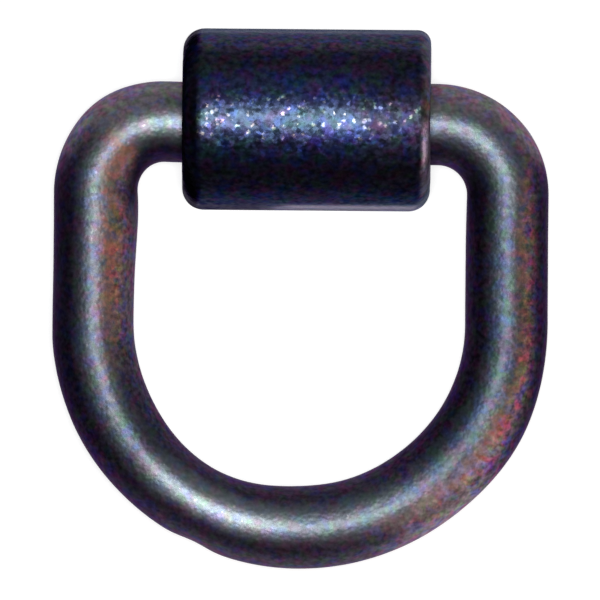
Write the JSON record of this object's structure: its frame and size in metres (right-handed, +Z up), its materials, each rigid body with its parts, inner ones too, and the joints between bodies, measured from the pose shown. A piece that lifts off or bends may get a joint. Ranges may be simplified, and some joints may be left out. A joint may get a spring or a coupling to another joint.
{
  "type": "weld-on d-ring",
  "caption": "Forged D-shaped lashing ring whose straight bar swings under a half-round forged saddle bracket, made to be welded down by the two long feet of the bracket.",
  "frame": {"origin": "centre of the bracket's footprint, on the plane of the deck that it is welded to", "axes": "+Z up from the deck, X along the straight bar and the bracket's channel, and the ring lies flat on the deck towards -Y"},
  "size_m": [0.1156, 0.1261, 0.0299],
  "materials": {
    "ring_steel": "as forged, brownish-grey gunmetal scale with a fine grain",
    "bracket_steel": "as forged, blue-black scale with a coarse sparkling grain"
  },
  "bodies": {
    "bracket": {"weld_bracket": "bracket_steel"},
    "ring": {"d_ring": "ring_steel"}
  },
  "joints": [
    {"name": "ring_swing", "type": "hinge", "parent": "bracket", "child": "ring", "pos_m": [0, -0.0009, 0.0095], "axis": [-1, 0, 0], "range_deg": [0, 180]}
  ]
}
